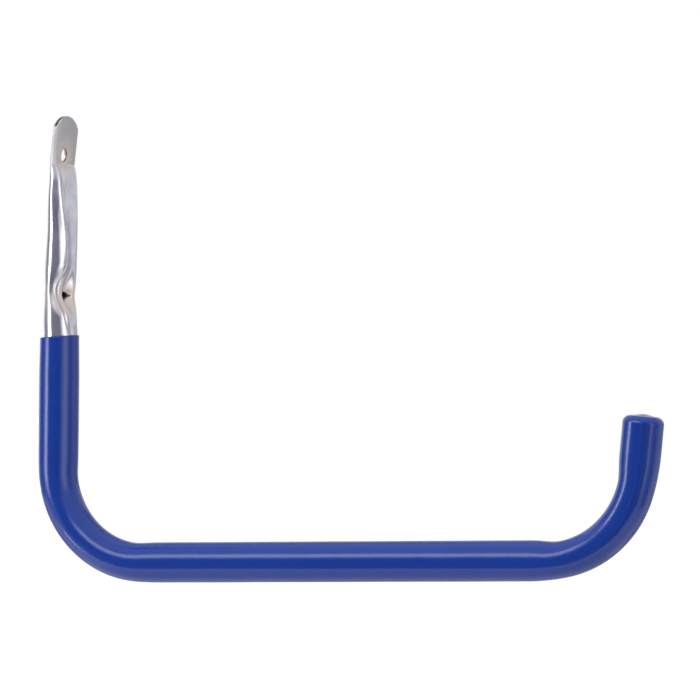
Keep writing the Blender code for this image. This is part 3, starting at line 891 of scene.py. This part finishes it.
floor_height = cad_low.z - FLOOR_DROP
sheet = bmesh.new()
bmesh.ops.create_circle(sheet, cap_ends=True, segments=FLOOR_SIDES, radius=FLOOR_REACH)
bmesh.ops.translate(sheet, verts=sheet.verts, vec=(cad_high.x / 2, 0.0, floor_height))
floor = as_object("floor", sheet)
paper, tree, shader = new_material("white_paper")
shader.inputs["Base Color"].default_value = FLOOR_PAPER
shader.inputs["Roughness"].default_value = PAPER_ROUGHNESS
shader.inputs["Specular IOR Level"].default_value = 0.0
away = add_node(tree, "ShaderNodeVectorMath", {
    0: add_node(tree, "ShaderNodeTexCoord").outputs["Object"],
    1: (cad_high.x / 2, 0.0, floor_height)}, operation="DISTANCE")
lift = add_fade(
    tree, away.outputs["Value"], NEAR_REACH, FAR_REACH, NEAR_LIFT, FAR_LIFT, eased=True)
glow = add_node(tree, "ShaderNodeEmission", {
    "Color": WHITE, "Strength": add_math(tree, "MULTIPLY", seen_directly(tree), lift)})
lifted = add_node(tree, "ShaderNodeAddShader", {0: shader.outputs["BSDF"], 1: glow.outputs["Emission"]})
tree.links.new(lifted.outputs["Shader"], tree.nodes["Material Output"].inputs["Surface"])
floor.data.materials.append(paper)

BLACK_CARD = (0.09, 0.09, 0.17, 1.0)
GREY_CARD = (0.22, 0.22, 0.25, 1.0)
PALE_CARD = (0.46, 0.45, 0.47, 1.0)
LIGHT_CARD = (0.68, 0.68, 0.69, 1.0)


def card(name, across, tall, place, turn, colour):
    """A flat card that only reflections show. It lies flat unless it is turned upright."""
    sheet = bmesh.new()
    bmesh.ops.create_grid(sheet, x_segments=1, y_segments=1, size=0.5)
    bmesh.ops.scale(sheet, vec=(across, tall, 1.0), verts=sheet.verts)
    bmesh.ops.transform(sheet, matrix=Matrix.Translation(place) @ turn, verts=sheet.verts)
    flag = as_object(name, sheet)
    felt, _, felt_shader = new_material(name)
    felt_shader.inputs["Base Color"].default_value = colour
    felt_shader.inputs["Roughness"].default_value = 1.0
    flag.data.materials.append(felt)
    flag.visible_camera = False
    flag.visible_diffuse = False
    flag.visible_transmission = False
    flag.visible_shadow = False


CARD_LEFT = -0.42           # edges of the black card in front, which is folded along its far low edge
CARD_RIGHT = 0.34
CARD_NEAR = 0.11
CARD_FAR = 0.50
CARD_LOW = -0.20
CARD_TOP = 0.05
upright = Matrix.Rotation(math.radians(90), 4, "X")
card_middle = (CARD_LEFT + CARD_RIGHT) / 2
card_width = CARD_RIGHT - CARD_LEFT
card(
    "black_card_lying", card_width, CARD_FAR - CARD_NEAR,
    (card_middle, -(CARD_FAR + CARD_NEAR) / 2, CARD_LOW), Matrix(), BLACK_CARD)
card(
    "black_card_standing", card_width, CARD_TOP - CARD_LOW,
    (card_middle, -CARD_FAR, (CARD_TOP + CARD_LOW) / 2), upright, BLACK_CARD)

# Four cards stand round the hook, a pair at its sides and a lower pair behind it. The lower ones
# keep the coat's edges blue, and the leaning shank's bare steel sees past them.
SIDE_CARD_DISTANCE = 0.70
SIDE_CARD_TALL = 0.60
SIDE_CARD_TOP = SIDE_CARD_TALL / 2
SIDE_CARDS = (              # name, bearing from -Y towards +X, width, height of the top and colour
    ("left_card", math.radians(-90), 0.42, SIDE_CARD_TOP, GREY_CARD),
    ("right_card", math.radians(94), 0.24, SIDE_CARD_TOP, PALE_CARD),
    ("low_left_card", math.radians(-117), 0.32, -0.20, PALE_CARD),
    ("low_right_card", math.radians(150), 0.50, 0.08, PALE_CARD),
)
for name, bearing, across, top, colour in SIDE_CARDS:
    spot = Vector((math.sin(bearing), -math.cos(bearing), 0.0)) * SIDE_CARD_DISTANCE
    spot.z = top - SIDE_CARD_TALL / 2
    card(
        name, across, SIDE_CARD_TALL, spot,
        Matrix.Rotation(bearing, 4, "Z") @ upright, colour)

# Two more lie behind the arm, above and below it, for its upper and lower edges.
LYING_CARDS = (             # name, width, depth and place
    ("card_above", 1.40, 0.75, (-0.20, 0.72, 0.60)),
    ("card_below", 1.20, 0.50, (-0.20, 0.50, -0.50)),
)
for name, across, tall, spot in LYING_CARDS:
    card(name, across, tall, spot, Matrix(), LIGHT_CARD)

# A small black card stands beside the tip, edge on to the shank.
TIP_CARD_ACROSS = 0.20
TIP_CARD_TALL = 0.16
TIP_CARD_PLACE = (0.350, -0.0875, -0.070)
TIP_CARD_TURN = Matrix.Rotation(math.radians(-14), 4, "Z")
card("tip_card", TIP_CARD_ACROSS, TIP_CARD_TALL, TIP_CARD_PLACE, TIP_CARD_TURN @ upright, BLACK_CARD)

# The surround is white to look at, in the room and in reflections, and lights the hook softly.
SURROUND_LIGHT = 0.70
world = bpy.data.worlds.new("white_surround")
world.use_nodes = True
bpy.context.scene.world = world
tree = world.node_tree
strength = add_fade(tree, seen_directly(tree), 0.0, 1.0, SURROUND_LIGHT, 1.0)
backdrop = tree.nodes["Background"]
backdrop.inputs["Color"].default_value = WHITE
tree.links.new(strength, backdrop.inputs["Strength"])

# Four soft lamps light the hook from the front and the sides. Its gloss doesn't show the overhead one.
LAMP_AIM = Vector((cad_high.x / 2, 0.0, -0.05))


def soft_light(name, bearing, height, distance, across, tall, radiance, warmth=1.0):
    """A rectangular lamp at a bearing from -Y towards +X, turned to the hook's middle."""
    lamp = bpy.data.lights.new(name, "AREA")
    lamp.shape = "RECTANGLE"
    lamp.size = across
    lamp.size_y = tall
    lamp.energy = radiance * math.pi * across * tall
    lamp.color = (1.0, warmth, warmth * warmth)
    light = bpy.data.objects.new(name, lamp)
    turn, rise = math.radians(bearing), math.radians(height)
    towards = Vector((
        math.sin(turn) * math.cos(rise), -math.cos(turn) * math.cos(rise), math.sin(rise)))
    light.location = LAMP_AIM + towards * distance
    light.rotation_euler = (-towards).to_track_quat("-Z", "Y").to_euler()
    light.visible_camera = False
    bpy.context.scene.collection.objects.link(light)
    return light


overhead = soft_light(
    "overhead", bearing=10.0, height=78.0, distance=1.3, across=1.7, tall=1.1, radiance=1.7)
overhead.visible_glossy = False
soft_light(
    "front_strip", bearing=-24.0, height=28.0, distance=1.5, across=1.2, tall=0.42, radiance=4.2)
soft_light(
    "left_strip", bearing=-55.0, height=-14.0, distance=1.3, across=0.38, tall=1.5, radiance=6.4)
soft_light(
    "right_strip", bearing=58.0, height=4.0, distance=1.6, across=0.78, tall=1.1, radiance=1.6,
    warmth=0.965)

# The camera stands level with the hook, far off, and a little towards the upturned tip. Its
# place is measured on the upright tube, so it is leant back with the hook.
CAMERA_BEARING = math.radians(22.5)
CAMERA_DISTANCE = 2.150
CAMERA_ROLL = math.radians(-0.534)
CAMERA_AIM = Vector((0.1156, -0.0001, 0.0444))
CAMERA_LENS = 306.5
CAMERA_SIGHT = 100.0
towards = Vector((math.sin(CAMERA_BEARING), -math.cos(CAMERA_BEARING), 0.0))
sideways = Vector((math.cos(CAMERA_BEARING), math.sin(CAMERA_BEARING), 0.0))
upwards = Vector((0.0, 0.0, 1.0))
right = sideways * math.cos(CAMERA_ROLL) - upwards * math.sin(CAMERA_ROLL)
up = sideways * math.sin(CAMERA_ROLL) + upwards * math.cos(CAMERA_ROLL)
facing = Matrix((right, up, towards)).transposed()
lens = bpy.data.cameras.new("camera")
lens.lens = CAMERA_LENS
lens.clip_end = CAMERA_SIGHT
camera = bpy.data.objects.new("camera", lens)
camera.matrix_world = Matrix.Translation(
    on_wall @ (CAMERA_AIM + towards * CAMERA_DISTANCE)) @ (lean_back.to_3x3() @ facing).to_4x4()
bpy.context.scene.collection.objects.link(camera)
bpy.context.scene.camera = camera
bpy.context.scene.view_settings.view_transform = "Standard"
